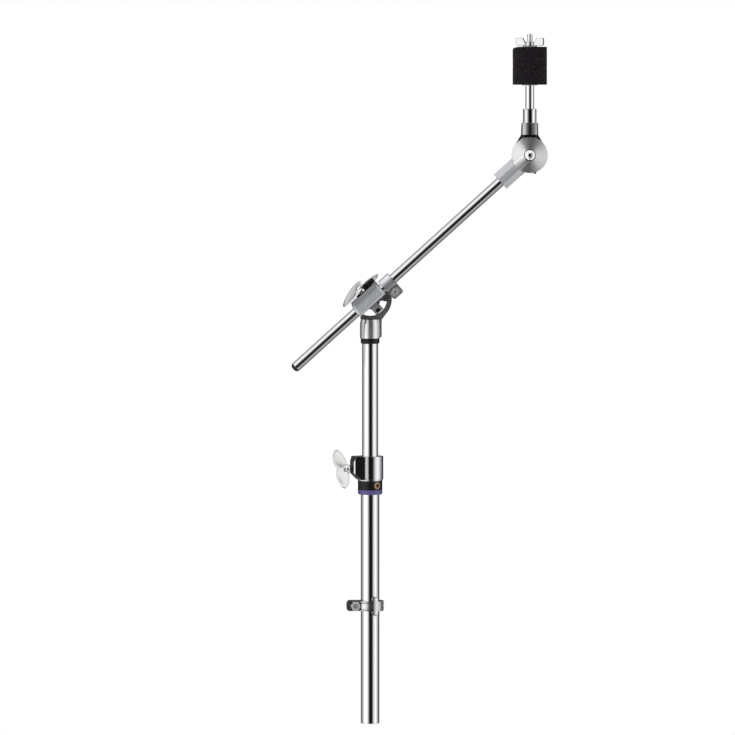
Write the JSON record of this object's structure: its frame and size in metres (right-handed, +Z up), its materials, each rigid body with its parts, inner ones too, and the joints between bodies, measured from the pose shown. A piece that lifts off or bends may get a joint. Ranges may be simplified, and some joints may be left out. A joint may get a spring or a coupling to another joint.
{
  "type": "cymbal boom stand",
  "caption": "Upper section of a cymbal boom stand: telescopic tubes with a height clamp, a boom tilter and arm, and a cymbal tilter with a felted rod.",
  "frame": {"origin": "centre of the lower tube's open bottom end", "axes": "+Z up the tubes, +X the way the boom rises, -Y the front"},
  "size_m": [0.3033, 0.0567, 0.8213],
  "materials": {
    "chrome": "polished chrome plate",
    "satin_cast": "satin die-cast, brushed",
    "cast_chrome": "chrome on die-cast zinc",
    "steel": "zinc-plated steel",
    "black_steel": "black oxide",
    "black_nylon": "moulded, satin",
    "blue_nylon": "moulded, violet blue",
    "white_nylon": "moulded, natural",
    "brass": "plain rivet",
    "felt": "pressed wool felt, black"
  },
  "bodies": {
    "lower_section": {"lower_tube": "chrome", "height_clamp_body": "cast_chrome", "clamp_ring": "blue_nylon", "clamp_band": "black_nylon", "band_rivet": "brass"},
    "lower_lock": {"lower_lock_front": "cast_chrome", "lower_lock_back": "cast_chrome", "lower_lock_hinge_pin": "steel", "lower_lock_nut": "steel"},
    "lower_lock_bolt": {"lower_lock_bolt": "steel"},
    "clamp_pad": {"clamp_pad": "white_nylon"},
    "clamp_wing": {"clamp_wing": "cast_chrome", "clamp_wing_screw": "black_steel"},
    "clamp_liner": {"clamp_liner": "white_nylon"},
    "upper_post": {"middle_tube": "chrome", "tilter_collar": "black_nylon", "tilter_base": "cast_chrome", "socket_pin": "steel"},
    "boom_clamp": {"boom_clamp_body": "satin_cast", "pivot_washer": "steel", "pivot_screw": "steel"},
    "tilt_shoe": {"tilt_shoe": "black_steel"},
    "boom_wing": {"boom_wing": "cast_chrome", "boom_wing_screw": "black_steel", "boom_wing_washer": "steel"},
    "boom_bush": {"boom_bush": "white_nylon"},
    "boom_arm": {"boom_arm": "chrome", "boom_end_cap": "black_nylon", "arm_holder": "satin_cast", "holder_pin": "steel", "tilter_bolt": "chrome", "friction_disc": "black_nylon"},
    "boom_lock": {"boom_lock": "satin_cast", "boom_lock_nut": "steel"},
    "boom_lock_bolt": {"boom_lock_bolt": "steel"},
    "cymbal_rod": {"rod_base": "satin_cast", "rod_collar": "chrome", "cymbal_rod": "chrome", "seat_washer": "steel", "lower_felt": "felt", "upper_felt": "felt", "cymbal_sleeve": "white_nylon"},
    "tilter_washer": {"tilter_washer": "steel"},
    "tilter_wing": {"tilter_wing_nut": "cast_chrome"},
    "top_washer": {"top_washer": "steel"},
    "top_wing": {"top_wing_nut": "cast_chrome"}
  },
  "joints": [
    {"name": "lower_lock_slide", "type": "slide", "parent": "lower_section", "child": "lower_lock", "axis": [0, 0, 1], "range_m": [-0.1, 0.1]},
    {"name": "lower_lock_bolt_turn", "type": "hinge", "parent": "lower_lock", "child": "lower_lock_bolt", "pos_m": [-0.0171, 0, 0.141], "axis": [0, 1, 0], "continuous": true},
    {"name": "clamp_pad_slide", "type": "slide", "parent": "lower_section", "child": "clamp_pad", "axis": [-0.9613, -0.2756, 0], "range_m": [0, 0.00125]},
    {"name": "clamp_wing_turn", "type": "hinge", "parent": "clamp_pad", "child": "clamp_wing", "pos_m": [0, 0, 0.3048], "axis": [-0.9613, -0.2756, 0], "range_deg": [0, 360]},
    {"name": "tube_swivel", "type": "hinge", "parent": "lower_section", "child": "clamp_liner", "pos_m": [0, 0, 0.31], "axis": [0, 0, 1], "continuous": true},
    {"name": "height_slide", "type": "slide", "parent": "clamp_liner", "child": "upper_post", "axis": [0, 0, 1], "range_m": [-0.05, 0.1]},
    {"name": "boom_tilt", "type": "hinge", "parent": "upper_post", "child": "boom_clamp", "pos_m": [0, 0, 0.5066], "axis": [0, -1, 0], "range_deg": [-42, 24]},
    {"name": "tilt_shoe_slide", "type": "slide", "parent": "boom_clamp", "child": "tilt_shoe", "axis": [-0.6717, 0, 0.7408], "range_m": [0, 0.001]},
    {"name": "boom_wing_turn", "type": "hinge", "parent": "boom_clamp", "child": "boom_wing", "pos_m": [-0.00089, -0.0094, 0.50579], "axis": [-0.6717, 0, 0.7408], "range_deg": [-360, 0]},
    {"name": "boom_roll", "type": "hinge", "parent": "boom_clamp", "child": "boom_bush", "pos_m": [0, -0.0205, 0.5066], "axis": [0.7408, 0, 0.6717], "range_deg": [-90, 24]},
    {"name": "boom_slide", "type": "slide", "parent": "boom_bush", "child": "boom_arm", "axis": [0.7408, 0, 0.6717], "range_m": [0, 0.095]},
    {"name": "boom_lock_slide", "type": "slide", "parent": "boom_arm", "child": "boom_lock", "axis": [0.7408, 0, 0.6717], "range_m": [0, 0.165]},
    {"name": "boom_lock_bolt_turn", "type": "hinge", "parent": "boom_lock", "child": "boom_lock_bolt", "pos_m": [0.02994, 0, 0.51579], "axis": [0, 1, 0], "continuous": true},
    {"name": "cymbal_tilt", "type": "hinge", "parent": "boom_arm", "child": "cymbal_rod", "pos_m": [0.1889, -0.0205, 0.67789], "axis": [0, 1, 0], "range_deg": [-70, 90]},
    {"name": "tilter_washer_slide", "type": "slide", "parent": "boom_arm", "child": "tilter_washer", "axis": [0, 1, 0], "range_m": [0, 0.00125]},
    {"name": "tilter_wing_turn", "type": "hinge", "parent": "tilter_washer", "child": "tilter_wing", "pos_m": [0.1889, -0.0205, 0.67789], "axis": [0, 1, 0], "range_deg": [0, 360]},
    {"name": "top_washer_slide", "type": "slide", "parent": "cymbal_rod", "child": "top_washer", "axis": [0, 0, 1], "range_m": [0, 0.003]},
    {"name": "top_wing_turn", "type": "hinge", "parent": "top_washer", "child": "top_wing", "pos_m": [0.1889, -0.0205, 0.67789], "axis": [0, 0, 1], "range_deg": [0, 1080]}
  ],
  "couplings": [
    {"joint": "clamp_pad_slide", "follows": "clamp_wing_turn", "m_per_rad": 0.00019894},
    {"joint": "tilt_shoe_slide", "follows": "boom_wing_turn", "m_per_rad": -0.00015915},
    {"joint": "tilter_washer_slide", "follows": "tilter_wing_turn", "m_per_rad": 0.00019894},
    {"joint": "top_washer_slide", "follows": "top_wing_turn", "m_per_rad": 0.00015915}
  ]
}
